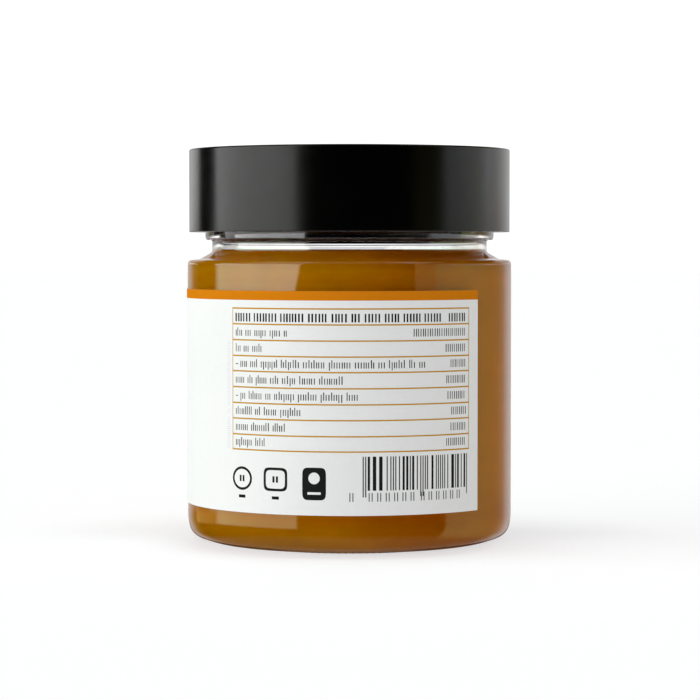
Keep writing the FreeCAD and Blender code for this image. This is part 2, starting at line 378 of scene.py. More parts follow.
def blob(mat, s, z, a, b, turn=0.0, steps=40, power=2.0, egg=0.0):
    """A closed rounded shape: an ellipse at power 2, squarer above."""
    pts = []
    c, d = math.cos(turn), math.sin(turn)
    for k in range(steps):
        t = 2 * math.pi * k / steps
        x = a * math.copysign(abs(math.cos(t)) ** (2 / power), math.cos(t))
        y = b * math.copysign(abs(math.sin(t)) ** (2 / power), math.sin(t))
        y *= 1.0 + egg * x / a
        pts.append((s + x * c - y * d, z + x * d + y * c))
    shapes.append((mat, pts))


def ticks(mat, s0, s1, base, tall, stroke, pitch, rise=0.0, drop=0.0, words=True):
    """A run of upright strokes in groups, standing for a line of small print."""
    s = s0
    left = rnd.randint(3, 9) if words else 10 ** 6
    while s + stroke <= s1 + 1e-6:
        top = base + tall
        low = base
        pick = rnd.random()
        if rise and pick < 0.22:
            top += rise
        elif drop and pick > 0.93:
            low -= drop
        wide = stroke * (1.0 + 0.25 * (rnd.random() - 0.5))
        box(mat, s, low, s + wide, top)
        s += pitch * (0.9 + 0.28 * rnd.random())
        left -= 1
        if left == 0 and s + 3 * pitch < s1:
            s += 0.62
            left = rnd.randint(3, 9)


# the orange band runs along the whole upper edge
box(ORANGE, S_LEFT - 1, 53.10, S_RIGHT + 1, LABEL_HIGH + 1)

# ruled table
T0, T1 = -26.70, 27.51
LINES = [51.40, 48.14, 44.84, 41.58, 38.40, 35.09, 31.80, 28.57, 25.28, 22.15]
W, WU = 0.148, 0.09
for z in LINES:
    box(RULE, T0 - WU, z - W, T1 + WU, z + W)
for s in (T0, T1):
    box(RULE, s - WU, LINES[-1] - W, s + WU, LINES[0] + W)
ticks(BLACK, -25.9, 20.3, 48.66, 1.76, 0.36, 0.66)
ticks(BLACK, 21.9, 26.6, 48.66, 1.76, 0.34, 0.66, words=False)
row_ends = [-12.8, -18.8, 16.4, -1.4, 1.9, -9.7, -13.2, -18.1]
value_starts = [13.5, 21.1, 22.4, 21.3, 21.6, 22.6, 22.4, 21.3]
for k in range(8):
    base = LINES[k + 2] + 0.84
    start = -25.8
    if k in (2, 4):
        box(BLACK, start, base + 0.56, start + 0.62, base + 0.74)
        start += 1.3
    ticks(BLACK, start, row_ends[k], base, 1.24, 0.21, 0.50, rise=0.46, drop=0.42)
    ticks(BLACK, value_starts[k], 26.65, base, 1.62, 0.21, 0.52, words=False)

# pale strip of print that runs upwards beside the table
z = 22.2
while z < 44.3:
    wide = 0.75 + (0.3 if rnd.random() < 0.3 else 0.0)
    box(LILAC, -27.45 - wide, z, -27.45, z + 0.15)
    z += 0.40 if rnd.random() > 0.12 else 0.85

# three plain marks
blob(BLACK, -24.1, 16.15, 2.65, 2.45, power=2.0, steps=48)
blob(PAPER, -24.1, 16.15, 2.12, 1.92, power=2.0, steps=48)
box(BLACK, -24.75, 15.5, -24.25, 16.8)
box(BLACK, -23.95, 15.5, -23.45, 16.8)
box(BLACK, -25.0, 12.1, -23.2, 12.75)
blob(BLACK, -15.8, 16.25, 2.75, 2.45, power=5.0, steps=48)
blob(PAPER, -15.8, 16.25, 2.2, 1.9, power=5.0, steps=48)
box(BLACK, -16.45, 15.6, -15.95, 16.9)
box(BLACK, -15.65, 15.6, -15.15, 16.9)
box(BLACK, -16.6, 12.1, -14.95, 12.75)
blob(BLACK, -7.3, 15.55, 2.5, 3.35, power=6.0, steps=48)
blob(PAPER, -7.3, 16.7, 1.2, 1.2, power=2.0, steps=32)
box(PAPER, -8.7, 13.35, -5.9, 13.85)

# a block of stripes with a row of short marks below it
stripe = random.Random(5)
B0, B1 = 2.7, 27.4
unit = 0.262
s = B0
count = 0
while s < B1 - unit * 1.2:
    guard = count in (0, 1) or abs(s - 15.05) < 0.55 or s > B1 - unit * 4.2
    wide = 1 if guard else stripe.choice([1, 1, 1, 2, 2, 3])
    gap = 1 if guard else stripe.choice([1, 1, 2, 2, 3])
    low = 12.85 if guard else 14.2
    box(BLACK, s, low, min(s + unit * wide * 0.92, B1), 21.2)
    s += unit * (wide + gap)
    count += 1
for k in range(13):
    s = (0.0 if k == 0 else 3.95 + (k - 1) * 1.78 + (0.55 if k > 6 else 0.0))
    box(BLACK, s, 11.95, s + 0.20, 13.75)
    box(BLACK, s + 0.62, 11.95, s + 0.82, 13.75)

# the main panel, on the far side: a plain fruit, a leaf and a blank plate
P = -83.0
blob(FRUIT, P - 0.5, 36.0, 11.8, 8.6, turn=0.42, egg=0.16, steps=72)
blob(BLUSH, P - 3.6, 32.9, 6.6, 4.2, turn=0.62, egg=0.2, steps=48)
blob(LEAF, P + 13.4, 45.2, 5.6, 2.0, turn=0.18, power=1.55, steps=40)
blob(LEAF_DARK, P + 13.4, 45.2, 5.0, 0.16, turn=0.18, steps=24)
box(LEAF_DARK, P + 7.2, 42.3, P + 8.0, 45.6)
blob(ORANGE, P, 19.6, 19.0, 3.3, power=8.0, steps=64)
box(ORANGE, P - 19.0, 14.35, P + 19.0, 14.6)
ticks(BLACK, P - 9.0, P + 9.0, 11.55, 1.3, 0.24, 0.56, rise=0.4)

# third panel: lines of small print under an orange rule
box(ORANGE, -149.0, 47.2, -115.0, 47.45)
ticks(BLACK, -149.0, -128.0, 49.1, 1.7, 0.34, 0.64)
for k, end in enumerate([-115.4, -116.2, -115.1, -117.0, -115.6, -115.2, -116.4, -127.5]):
    ticks(BLACK, -149.0, end, 44.2 - 2.75 * k, 1.1, 0.20, 0.46, rise=0.4, drop=0.36)
box(ORANGE, -149.0, 21.6, -115.0, 21.85)
for k, end in enumerate([-124.0, -131.0, -118.0]):
    ticks(BLACK, -149.0, end, 18.6 - 2.75 * k, 1.1, 0.20, 0.46, rise=0.4, drop=0.36)


def label_mesh():
    """Cuts the flat label along the edges of its print and along upright lines two degrees apart, ready to be wrapped
    round the jar as a closed sheet."""
    pts, edges, polys, kinds = [], [], [], []

    def add(ring):
        base = len(pts)
        pts.extend(ring)
        idx = list(range(base, base + len(ring)))
        edges.extend((idx[k], idx[(k + 1) % len(idx)]) for k in range(len(idx)))
        return idx

    lo, hi = S_LEFT, S_RIGHT
    sheet = add([(lo, LABEL_LOW), (hi, LABEL_LOW), (hi, LABEL_HIGH), (lo, LABEL_HIGH)])
    polys.append(sheet)
    kinds.append(PAPER)
    for mat, ring in shapes:
        ring = [(min(max(s, lo), hi), min(max(zz, LABEL_LOW), LABEL_HIGH)) for s, zz in ring]
        polys.append(add(ring))
        kinds.append(mat)
    step = (hi - lo) / 156
    for k in range(1, 156):
        s = lo + step * k
        a = len(pts)
        pts.extend([(s, LABEL_LOW), (s, LABEL_HIGH)])
        edges.append((a, a + 1))
    out = delaunay_2d_cdt([Vector(q) for q in pts], edges, polys, 1, 1e-5)
    co, _, tris, _, _, owner = out
    flat_v = [(q.x, q.y) for q in co]
    flat_f, flat_m = [], []
    for f, who in zip(tris, owner):
        if not who:
            continue
        flat_f.append(tuple(f))
        flat_m.append(kinds[max(who)])
    return flat_v, flat_f, flat_m


fv, ff, fm = label_mesh()
area = sum((fv[f[1]][0] - fv[f[0]][0]) * (fv[f[2]][1] - fv[f[0]][1])
           - (fv[f[2]][0] - fv[f[0]][0]) * (fv[f[1]][1] - fv[f[0]][1]) for f in ff) / 2
if area < 0:
    ff = [tuple(reversed(f)) for f in ff]
count = len(fv)
INNER_R = 35.084


def wrap(radius):
    out = []
    for s, zz in fv:
        t = s / LABEL_R
        out.append((radius * math.sin(t), -radius * math.cos(t), zz))
    return out


verts = wrap(LABEL_R) + wrap(INNER_R)
faces = list(ff) + [tuple(i + count for i in reversed(f)) for f in ff]
mats = list(fm) + [PAPER] * len(ff)
seen = {}
for f in ff:
    for a, b in zip(f, f[1:] + f[:1]):
        seen[(a, b)] = seen.get((a, b), 0) + 1
for (a, b) in list(seen):
    if (b, a) not in seen:
        faces.append((b, a, a + count, b + count))
        mats.append(PAPER)
label = build("label_looks", verts, faces, mats=mats)
corner_normals = []
for p in label.data.polygons:
    n = p.normal
    upright = abs(n.z) < 0.3
    for i in p.vertices:
        c = label.data.vertices[i].co
        out = Vector((c.x, c.y, 0)).normalized()
        if upright and abs(n.dot(out)) > 0.9:
            corner_normals.append(out if n.dot(out) > 0 else -out)
        else:
            corner_normals.append(n.copy())
label.data.normals_split_custom_set(corner_normals)


# ---------------------------------------------------------------- materials
def material(name):
    m = bpy.data.materials.new(name)
    m.use_nodes = True
    nt = m.node_tree
    nt.nodes.clear()
    out = nt.nodes.new("ShaderNodeOutputMaterial")
    bsdf = nt.nodes.new("ShaderNodeBsdfPrincipled")
    nt.links.new(bsdf.outputs[0], out.inputs["Surface"])
    return m, nt, bsdf, out


def coords(nt, scale=(1.0, 1.0, 1.0)):
    tex = nt.nodes.new("ShaderNodeTexCoord")
    mapping = nt.nodes.new("ShaderNodeMapping")
    mapping.inputs["Scale"].default_value = scale
    nt.links.new(tex.outputs["Object"], mapping.inputs["Vector"])
    return mapping.outputs["Vector"]


def noise(nt, vector, scale, detail=3.0, rough=0.55, distortion=0.0):
    n = nt.nodes.new("ShaderNodeTexNoise")
    n.inputs["Scale"].default_value = scale
    n.inputs["Detail"].default_value = detail
    n.inputs["Roughness"].default_value = rough
    n.inputs["Distortion"].default_value = distortion
    nt.links.new(vector, n.inputs["Vector"])
    return n.outputs["Fac"]


def ramp(nt, fac, stops, interpolation="LINEAR"):
    r = nt.nodes.new("ShaderNodeValToRGB")
    r.color_ramp.interpolation = interpolation
    els = r.color_ramp.elements
    while len(els) > 1:
        els.remove(els[-1])
    els[0].position = stops[0][0]
    els[0].color = (*stops[0][1], 1.0) if len(stops[0][1]) == 3 else stops[0][1]
    for pos, col in stops[1:]:
        e = els.new(pos)
        e.color = (*col, 1.0) if len(col) == 3 else col
    nt.links.new(fac, r.inputs["Fac"])
    return r.outputs["Color"]


def bump(nt, bsdf, height, strength, distance):
    b = nt.nodes.new("ShaderNodeBump")
    b.inputs["Strength"].default_value = strength
    b.inputs["Distance"].default_value = distance
    nt.links.new(height, b.inputs["Height"])
    nt.links.new(b.outputs["Normal"], bsdf.inputs["Normal"])
    return b


def maths(nt, op, a, b=None, clamp=False):
    n = nt.nodes.new("ShaderNodeMath")
    n.operation = op
    n.use_clamp = clamp
    for i, v in enumerate((a, b)):
        if v is None:
            continue
        if isinstance(v, (int, float)):
            n.inputs[i].default_value = v
        else:
            nt.links.new(v, n.inputs[i])
    return n.outputs[0]


# clear glass: real glass to the eye, plainly clear to the light that falls through it
glass_mat, nt, bsdf, out = material("clear_glass")
bsdf.inputs["Base Color"].default_value = (0.985, 0.99, 0.988, 1)
bsdf.inputs["Roughness"].default_value = 0.0
bsdf.inputs["IOR"].default_value = 1.52
bsdf.inputs["Transmission Weight"].default_value = 1.0
ripple = noise(nt, coords(nt, (1.0, 1.0, 0.35)), 45.0, detail=1.0)
bump(nt, bsdf, ripple, 0.06, 0.0004)
clear = nt.nodes.new("ShaderNodeBsdfTransparent")
clear.inputs["Color"].default_value = (0.94, 0.945, 0.942, 1)
path = nt.nodes.new("ShaderNodeLightPath")
either = maths(nt, "MAXIMUM", path.outputs["Is Shadow Ray"], path.outputs["Is Diffuse Ray"])
mix = nt.nodes.new("ShaderNodeMixShader")
nt.links.new(either, mix.inputs["Fac"])
nt.links.new(bsdf.outputs[0], mix.inputs[1])
nt.links.new(clear.outputs[0], mix.inputs[2])
nt.links.new(mix.outputs[0], out.inputs["Surface"])
glass.data.materials.append(glass_mat)

# chutney: amber fruit pulp, light goes a millimetre or two into it
def pulp(name):
    m, nt, bsdf, out = material(name)
    vec = coords(nt)
    soft = noise(nt, vec, 130.0, detail=4.0, rough=0.5, distortion=0.6)
    cloud = noise(nt, vec, 28.0, detail=2.0)
    grain = ramp(nt, soft, [(0.30, (0.93, 0.93, 1.0)), (0.52, (1.0, 1.0, 1.0)),
                            (0.74, (1.07, 1.08, 1.0))])
    # painted shade: lighter and greener on the left, darker and redder on the right where less light falls, with slow
    # random clouds between
    split = nt.nodes.new("ShaderNodeSeparateXYZ")
    nt.links.new(vec, split.inputs[0])
    across = maths(nt, "MULTIPLY_ADD", split.outputs[0], 1.0 / 0.072)
    across.node.inputs[2].default_value = 0.5
    across = maths(nt, "ADD", across, maths(nt, "MULTIPLY", maths(nt, "SUBTRACT", cloud, 0.5), 0.08))
    painted_light_hue = ramp(nt, across, [(0.05, (0.362, 0.140, 0.0003)), (0.34, (0.382, 0.154, 0.0003)),
                            (0.50, (0.398, 0.150, 0.0003)), (0.60, (0.368, 0.122, 0.0003)),
                            (0.70, (0.348, 0.103, 0.0003)), (0.95, (0.345, 0.102, 0.0003))])
    # painted shade: darker towards the foot of the jar and under the shoulder, and lighter a little below the shoulder
    up = maths(nt, "MULTIPLY", split.outputs[2], 1.0 / 0.064)
    depth = ramp(nt, up, [(0.045, (0.62, 0.58, 1.0)), (0.075, (0.83, 0.79, 1.0)),
                          (0.118, (0.89, 0.77, 1.0)), (0.22, (1.0, 1.0, 1.0)),
                          (0.904, (1.0, 1.0, 1.0)), (0.918, (1.10, 1.08, 1.0)),
                          (0.926, (1.18, 1.17, 1.0)), (0.936, (1.27, 1.20, 1.0)),
                          (0.945, (1.27, 1.09, 1.0)), (0.950, (1.24, 1.06, 1.0)),
                          (0.9655, (1.14, 0.98, 1.0)), (0.975, (1.03, 0.76, 1.0)),
                          (0.981, (0.80, 0.62, 1.0)), (0.9875, (0.46, 0.38, 1.0)),
                          (1.0, (0.42, 0.34, 1.0))])
    # painted light beside the label's two long edges, brightening the pulp where the label shades it, fading out
    # towards the right-hand side of the jar
    lift = ramp(nt, up, [(0.0, (0.0, 0.0, 0.0)), (0.102, (0.0, 0.0, 0.0)),
                         (0.138, (0.38, 0.28, 0.0)), (0.16, (0.38, 0.28, 0.0)),
                         (0.20, (0.0, 0.0, 0.0)), (0.83, (0.0, 0.0, 0.0)),
                         (0.855, (0.30, 0.26, 0.0)), (0.87, (0.24, 0.20, 0.0)),
                         (0.915, (0.0, 0.0, 0.0))])
    gap = maths(nt, "MULTIPLY_ADD", split.outputs[0], -1.0 / 0.005, clamp=True)
    gap.node.inputs[2].default_value = 5.4
    painted_edge_light = nt.nodes.new("ShaderNodeMix")
    painted_edge_light.data_type = "RGBA"
    painted_edge_light.blend_type = "MULTIPLY"
    nt.links.new(gap, painted_edge_light.inputs["Factor"])
    nt.links.new(painted_light_hue, painted_edge_light.inputs["A"])
    more = nt.nodes.new("ShaderNodeMix")
    more.data_type = "RGBA"
    more.blend_type = "ADD"
    more.inputs["Factor"].default_value = 1.0
    more.inputs["A"].default_value = (1.0, 1.0, 1.0, 1.0)
    nt.links.new(lift, more.inputs["B"])
    nt.links.new(more.outputs["Result"], painted_edge_light.inputs["B"])
    painted_light_hue = painted_edge_light.outputs["Result"]
    # the painted shade by height is laid over the colour here
    painted_height_shade = nt.nodes.new("ShaderNodeMix")
    painted_height_shade.data_type = "RGBA"
    painted_height_shade.blend_type = "MULTIPLY"
    painted_height_shade.inputs["Factor"].default_value = 1.0
    nt.links.new(painted_light_hue, painted_height_shade.inputs["A"])
    nt.links.new(depth, painted_height_shade.inputs["B"])
    last = nt.nodes.new("ShaderNodeMix")
    last.data_type = "RGBA"
    last.blend_type = "MULTIPLY"
    last.inputs["Factor"].default_value = 1.0
    nt.links.new(painted_height_shade.outputs["Result"], last.inputs["A"])
    nt.links.new(grain, last.inputs["B"])
    nt.links.new(last.outputs["Result"], bsdf.inputs["Base Color"])
    bsdf.inputs["Subsurface Weight"].default_value = 1.0
    bsdf.inputs["Subsurface Radius"].default_value = (1.0, 0.42, 0.08)
    bsdf.inputs["Subsurface Scale"].default_value = 0.0016
    return m, nt, bsdf, vec


chutney_mat, nt, bsdf, vec = pulp("chutney_pulp")
bsdf.inputs["Roughness"].default_value = 0.5
bsdf.inputs["Specular IOR Level"].default_value = 0.0
chutney.data.materials.append(chutney_mat)

wet_mat, nt, bsdf, vec = pulp("chutney_top")
bsdf.inputs["Roughness"].default_value = 0.16
bsdf.inputs["IOR"].default_value = 1.44
bump(nt, bsdf, noise(nt, vec, 260.0, detail=3.0), 0.35, 0.0006)
chutney.data.materials.append(wet_mat)
for p in chutney.data.polygons:
    c = p.center
    if c.z > (FILL - 0.4) * MM and math.hypot(c.x, c.y) < 28.25 * MM:
        p.material_index = 1

# black lacquer on the cap
cap_mat, nt, bsdf, out = material("black_lacquer")
vec = coords(nt)
shade = noise(nt, vec, 60.0, detail=2.0)
nt.links.new(ramp(nt, shade, [(0.3, (0.0002, 0.0002, 0.0002)), (0.7, (0.0005, 0.0005, 0.0005))]),
             bsdf.inputs["Base Color"])
bsdf.inputs["IOR"].default_value = 1.325
gloss = ramp(nt, noise(nt, vec, 240.0, detail=3.0),
             [(0.3, (0.175, 0.175, 0.175)), (0.7, (0.205, 0.205, 0.205))])
nt.links.new(gloss, bsdf.inputs["Roughness"])
bump(nt, bsdf, noise(nt, vec, 1500.0, detail=2.0), 0.05, 0.00008)
cap.data.materials.append(cap_mat)


# paper and inks
def printed(name, colour, spread=0.03, rough=0.55, level=0.05):
    m, nt, bsdf, out = material(name)
    vec = coords(nt)
    fibre = noise(nt, vec, 900.0, detail=4.0, rough=0.6)
    low = tuple(max(0.0, c * (1 - spread)) for c in colour)
    high = tuple(min(1.0, c * (1 + spread)) for c in colour)
    nt.links.new(ramp(nt, fibre, [(0.3, low), (0.7, high)]), bsdf.inputs["Base Color"])
    bsdf.inputs["Roughness"].default_value = rough
    bsdf.inputs["Specular IOR Level"].default_value = level
    bump(nt, bsdf, noise(nt, vec, 1400.0, detail=3.0), 0.12, 0.00005)
    return m


for m in (
    printed("label_paper", (0.795, 0.792, 0.812), 0.012),
    printed("ink_orange", (0.600, 0.186, 0.006), 0.02, rough=0.48, level=0.0),
    printed("ink_black", (0.010, 0.010, 0.011), 0.1, rough=0.45),
    printed("ink_lilac", (0.66, 0.645, 0.74), 0.02),
    printed("ink_fruit", (0.80, 0.30, 0.012), 0.03, rough=0.48),
    printed("ink_blush", (0.88, 0.47, 0.06), 0.03, rough=0.48),
    printed("ink_leaf", (0.10, 0.24, 0.03), 0.05, rough=0.48),
    printed("ink_leaf_dark", (0.035, 0.10, 0.015), 0.05, rough=0.48),
    printed("ink_rule", (0.50, 0.25, 0.003), 0.04, rough=0.48, level=0.0),
):
    label.data.materials.append(m)


# ---------------------------------------------------------------- studio
world = bpy.data.worlds.new("studio")
scene.world = world
world.use_nodes = True
nt = world.node_tree
nt.nodes.clear()
out = nt.nodes.new("ShaderNodeOutputWorld")
back = nt.nodes.new("ShaderNodeBackground")
nt.links.new(back.outputs[0], out.inputs["Surface"])
tex = nt.nodes.new("ShaderNodeTexCoord")
sep = nt.nodes.new("ShaderNodeSeparateXYZ")
nt.links.new(tex.outputs["Generated"], sep.inputs[0])
dx, dy, dz = sep.outputs
az = maths(nt, "ARCTAN2", dx, maths(nt, "MULTIPLY", dy, -1.0))  # 0 towards -Y, + towards +X
az01 = maths(nt, "MULTIPLY_ADD", az, 1.0 / (2 * math.pi))
az01.node.inputs[2].default_value = 0.5
el = maths(nt, "ARCSINE", dz)
TOP = 8.0


def times(a, b):
    n = nt.nodes.new("ShaderNodeMix")
    n.data_type = "RGBA"
    n.blend_type = "MULTIPLY"
    n.inputs["Factor"].default_value = 1.0
    nt.links.new(a, n.inputs["A"])
    nt.links.new(b, n.inputs["B"])
    return n.outputs["Result"]


def plus(a, b):
    n = nt.nodes.new("ShaderNodeMix")
    n.data_type = "RGBA"
    n.blend_type = "ADD"
    n.inputs["Factor"].default_value = 1.0
    nt.links.new(a, n.inputs["A"])
    nt.links.new(b, n.inputs["B"])
    return n.outputs["Result"]


def gate(x, low, high, soft_low, soft_high):
    """One between low and high, with a straight ramp of the given width at each end, in
    whichever node tree is being built."""
    up = maths(nt, "MULTIPLY_ADD", x, 1.0 / soft_low, clamp=True)
    up.node.inputs[2].default_value = 0.5 - low / soft_low
    down = maths(nt, "MULTIPLY_ADD", x, -1.0 / soft_high, clamp=True)
    down.node.inputs[2].default_value = 0.5 + high / soft_high
    return maths(nt, "MULTIPLY", up, down)


def colour_times(value, colour):
    n = nt.nodes.new("ShaderNodeMix")
    n.data_type = "RGBA"
    n.inputs["A"].default_value = (0.0, 0.0, 0.0, 1.0)
    n.inputs["B"].default_value = tuple(c / TOP for c in colour) + (1.0,)
    nt.links.new(value, n.inputs["Factor"])
    return n.outputs["Result"]


def round_az(stops):
    """Radiance round the horizon: (azimuth, a number or a colour)."""
    return ramp(nt, az01, [((a + 180.0) / 360.0,
                            tuple(c / TOP for c in (v if isinstance(v, tuple) else (v, v, v))))
                           for a, v in stops])


def tint(v, r, g, b):
    return (v * r, v * g, v * b)


deg = maths(nt, "MULTIPLY", az, 180.0 / math.pi)
height = maths(nt, "MULTIPLY", el, 180.0 / math.pi)
# what the glass mirrors, on its upright wall and under the shoulder
LOW = maths(nt, "ADD", gate(height, -30.0, 0.0, 12.0, 0.1), gate(height, 7.0, 25.0, 0.5, 2.0))
# the soft box on the left: the part at eye level, whose right-hand edge leans, and the part
# lower down
LEAN = maths(nt, "MULTIPLY_ADD", maths(nt, "MAXIMUM", maths(nt, "MINIMUM", height, -0.2), -1.1), -6.7)
LEAN.node.inputs[2].default_value = -2.345
LEAN = maths(nt, "ADD", deg, LEAN)
BOX_EYE = maths(nt, "MULTIPLY", maths(nt, "ADD", gate(height, -3.0, 0.0, 0.2, 0.1), gate(height, 7.0, 25.0, 0.5, 2.0)),
                maths(nt, "MULTIPLY", gate(deg, -107.5, 400.0, 6.0, 1.0), gate(LEAN, -400.0, -34.4, 1.0, 2.5)))
BOX_FOOT = maths(nt, "MULTIPLY", gate(height, -8.4, -3.0, 4.4, 0.2), gate(deg, -107.5, -37.0, 6.0, 2.5))
MID = gate(height, 0.0, 7.0, 0.1, 0.5)         # what the cap mirrors
UPPER = gate(height, 25.0, 45.0, 2.0, 6.0)
HIGH = gate(height, 45.0, 72.0, 6.0, 5.0)
CROWN = gate(height, 72.0, 200.0, 5.0, 5.0)
UNDER = gate(height, -200.0, -30.0, 5.0, 12.0)
LEFT = gate(deg, -109.4, -37.1, 0.8, 0.8)
RIGHT = gate(deg, 52.0, 95.0, 4.0, 4.0)
FRONT = gate(deg, -37.1, 52.0, 0.8, 4.0)
BEHIND = maths(nt, "SUBTRACT", 1.0, gate(deg, -135.0, 136.0, 3.0, 3.0))

FOOT = maths(nt, "MULTIPLY", gate(height, -60.0, -7.2, 8.0, 0.8),
             maths(nt, "SUBTRACT", 1.0, gate(deg, -166.0, 166.0, 6.0, 6.0)))
LOW_BACK = maths(nt, "MULTIPLY", LOW, maths(nt, "MULTIPLY_ADD", FOOT, -0.97))
LOW_BACK.node.inputs[1].links[0].from_node.inputs[2].default_value = 1.0
# the right-hand edge leans: it starts further round the lower one looks
SLANT = maths(nt, "MULTIPLY_ADD", maths(nt, "MAXIMUM", maths(nt, "MINIMUM", height, -0.8), -6.0), 1.7)
SLANT.node.inputs[2].default_value = 1.36
SLANT = maths(nt, "ADD", deg, SLANT)
warm = (1.15, 1.0, 0.41)
# the front fill is spread too thin to be seen as a reflection
lp = nt.nodes.new("ShaderNodeLightPath")
DULL = maths(nt, "MULTIPLY_ADD", lp.outputs["Is Glossy Ray"], -0.75)
DULL.node.inputs[2].default_value = 1.0
parts = [
    # the soft box on the left
    times(BOX_EYE, round_az([(-110, (1.8, 2.7, 2.1)), (-104, (1.9, 2.85, 2.2)), (-93, (2.6, 3.1, 2.6)),
                             (-74, (3.2, 3.85, 3.2)), (-57, (3.4, 3.75, 3.1)), (-42, (4.05, 4.1, 3.3))])),
    times(BOX_FOOT, round_az([(-110, (2.0, 2.3, 1.4)), (-104, (2.1, 2.45, 1.45)), (-93, (2.3, 2.6, 1.5)),
                              (-74, (2.25, 2.35, 1.35)), (-57, (2.4, 2.3, 1.35)), (-42, (2.8, 2.5, 1.4))])),
    times(maths(nt, "MULTIPLY", gate(deg, -110.5, -38.2, 0.8, 0.8), MID),
          round_az([(-110, (4.8, 4.6, 4.7)), (-104, (4.6, 4.4, 4.5)), (-93, (4.65, 4.5, 4.6)),
                    (-75, (4.6, 4.45, 4.55)), (-57, (4.65, 4.6, 4.7)), (-40, (3.4, 3.5, 3.6))])),
    colour_times(maths(nt, "MULTIPLY", gate(height, -9.5, -4.7, 3.0, 0.3), gate(deg, -139.0, -107.5, 4.0, 6.0)),
                 (0.9, 0.62, 0.2)),
    colour_times(maths(nt, "MULTIPLY", LEFT, UPPER), (0.3, 0.3, 0.3)),
    colour_times(maths(nt, "MULTIPLY", LEFT, HIGH), (1.4, 1.4, 1.4)),
    # the box on the right: two steps in the glass, one soft edge in the cap
    colour_times(maths(nt, "MULTIPLY", gate(deg, 46.5, 118.0, 0.8, 1.0),
                       maths(nt, "MULTIPLY", maths(nt, "MULTIPLY", LOW, gate(height, -1.9, 30.0, 1.2, 1.0)),
                             gate(SLANT, -400.0, 62.5, 1.0, 2.5))),
                 tint(0.62, *warm)),
    times(maths(nt, "MULTIPLY", maths(nt, "MULTIPLY", gate(SLANT, 62.5, 400.0, 2.5, 1.0),
                                      gate(deg, 0.0, 118.0, 1.0, 1.0)), LOW),
          round_az([(-180, (0.77, 0.99, 0.45)), (80.0, (0.77, 0.99, 0.45)), (95.0, (0.80, 0.95, 0.42)),
                    (108.0, (0.76, 0.74, 0.31)), (118.0, (0.62, 0.56, 0.22))])),
    times(maths(nt, "MULTIPLY", gate(deg, 70.5, 118.0, 6.0, 1.0), MID),
          round_az([(-180, (1.62, 1.60, 1.75)), (84.0, (1.65, 1.63, 1.78)),
                    (92.0, (1.80, 1.80, 1.92)), (103.0, (1.68, 1.68, 1.75)), (111.0, (1.80, 1.80, 1.9)),
                    (118.0, (2.35, 2.35, 2.75))])),
    colour_times(maths(nt, "MULTIPLY", RIGHT, HIGH), (1.6, 1.6, 1.6)),
    # the pale surround behind, dark where the foot of the jar mirrors what it stands on
    times(maths(nt, "MULTIPLY", gate(deg, 118.0, 400.0, 1.0, 1.0), LOW_BACK),
          round_az([(-180, 0.60), (118.0, (0.66, 0.53, 0.22)), (129.0, (0.60, 0.44, 0.22)),
                    (136.0, (0.66, 0.52, 0.32)), (140.0, (0.66, 0.56, 0.44)),
                    (146.0, (0.82, 0.79, 0.74)), (154.0, (0.86, 0.83, 0.80)), (162.0, 0.72),
                    (172.0, 0.70), (180, 0.80)])),
    times(maths(nt, "MULTIPLY", gate(deg, -400.0, -134.0, 1.0, 2.0), LOW_BACK),
          round_az([(-180, 0.80), (-174, 0.70), (-161, 0.66), (-155, 0.63),
                    (-151, (0.60, 0.56, 0.45)), (-148, (0.44, 0.40, 0.26)), (-143, (0.24, 0.22, 0.08)),
                    (-139, (0.15, 0.13, 0.05)), (-133, (0.09, 0.08, 0.03))])),
    times(maths(nt, "MULTIPLY", gate(deg, 118.0, 400.0, 1.0, 1.0), MID),
          round_az([(-180, 1.5), (118.0, 1.75), (129.0, 1.45), (142.0, 1.28), (154.0, 1.05),
                    (164.0, 0.85), (174.0, 0.72), (177.0, 0.85), (179.0, 1.15),
                    (180, 1.15)])),
    times(maths(nt, "MULTIPLY", gate(deg, -400.0, -136.0, 1.0, 4.0), MID),
          round_az([(-180, 1.15), (-179, 1.15), (-177, 0.85), (-174, 0.66), (-166, 0.70), (-157, 1.15), (-150, 1.40),
                    (-142, 1.55), (-133, 1.5)])),
    colour_times(maths(nt, "MULTIPLY", BEHIND, HIGH), (1.05, 1.05, 1.05)),
    # front, overhead and the ground
    colour_times(maths(nt, "MULTIPLY", maths(nt, "MULTIPLY", FRONT, DULL), UPPER), (0.71, 0.71, 0.78)),
    colour_times(maths(nt, "MULTIPLY", maths(nt, "MULTIPLY", FRONT, DULL), HIGH), (0.71, 0.71, 0.78)),
    colour_times(maths(nt, "MULTIPLY", CROWN, DULL), (1.9, 1.9, 1.9)),
    colour_times(UNDER, (0.25, 0.25, 0.22)),
]
painted = parts[0]
for more in parts[1:]:
    painted = plus(painted, more)
# the narrow view that the ring of the neck has, just above the table
RING = maths(nt, "MULTIPLY", gate(height, -5.55, -1.5, 0.3, 0.4), gate(deg, -400.0, 100.0, 1.0, 2.0))
ring_view = round_az([(-180, 0.93), (-168, 0.75), (-138, 0.72), (-136, 0.02), (-117.5, 0.02),
                      (-115, 1.9), (-37, 1.9), (-33, 0.0), (180, 0.0)])
swap = nt.nodes.new("ShaderNodeMix")
swap.data_type = "RGBA"
nt.links.new(RING, swap.inputs["Factor"])
nt.links.new(painted, swap.inputs["A"])
nt.links.new(ring_view, swap.inputs["B"])
painted = swap.outputs["Result"]
white = nt.nodes.new("ShaderNodeRGB")
white.outputs[0].default_value = (1.1 / TOP, 1.1 / TOP, 1.1 / TOP, 1)
pick = nt.nodes.new("ShaderNodeMix")
pick.data_type = "RGBA"
nt.links.new(lp.outputs["Is Camera Ray"], pick.inputs["Factor"])
nt.links.new(painted, pick.inputs["A"])
nt.links.new(white.outputs[0], pick.inputs["B"])
nt.links.new(pick.outputs["Result"], back.inputs["Color"])
back.inputs["Strength"].default_value = TOP
world.cycles.sampling_method = "MANUAL"
world.cycles.sample_map_resolution = 1024

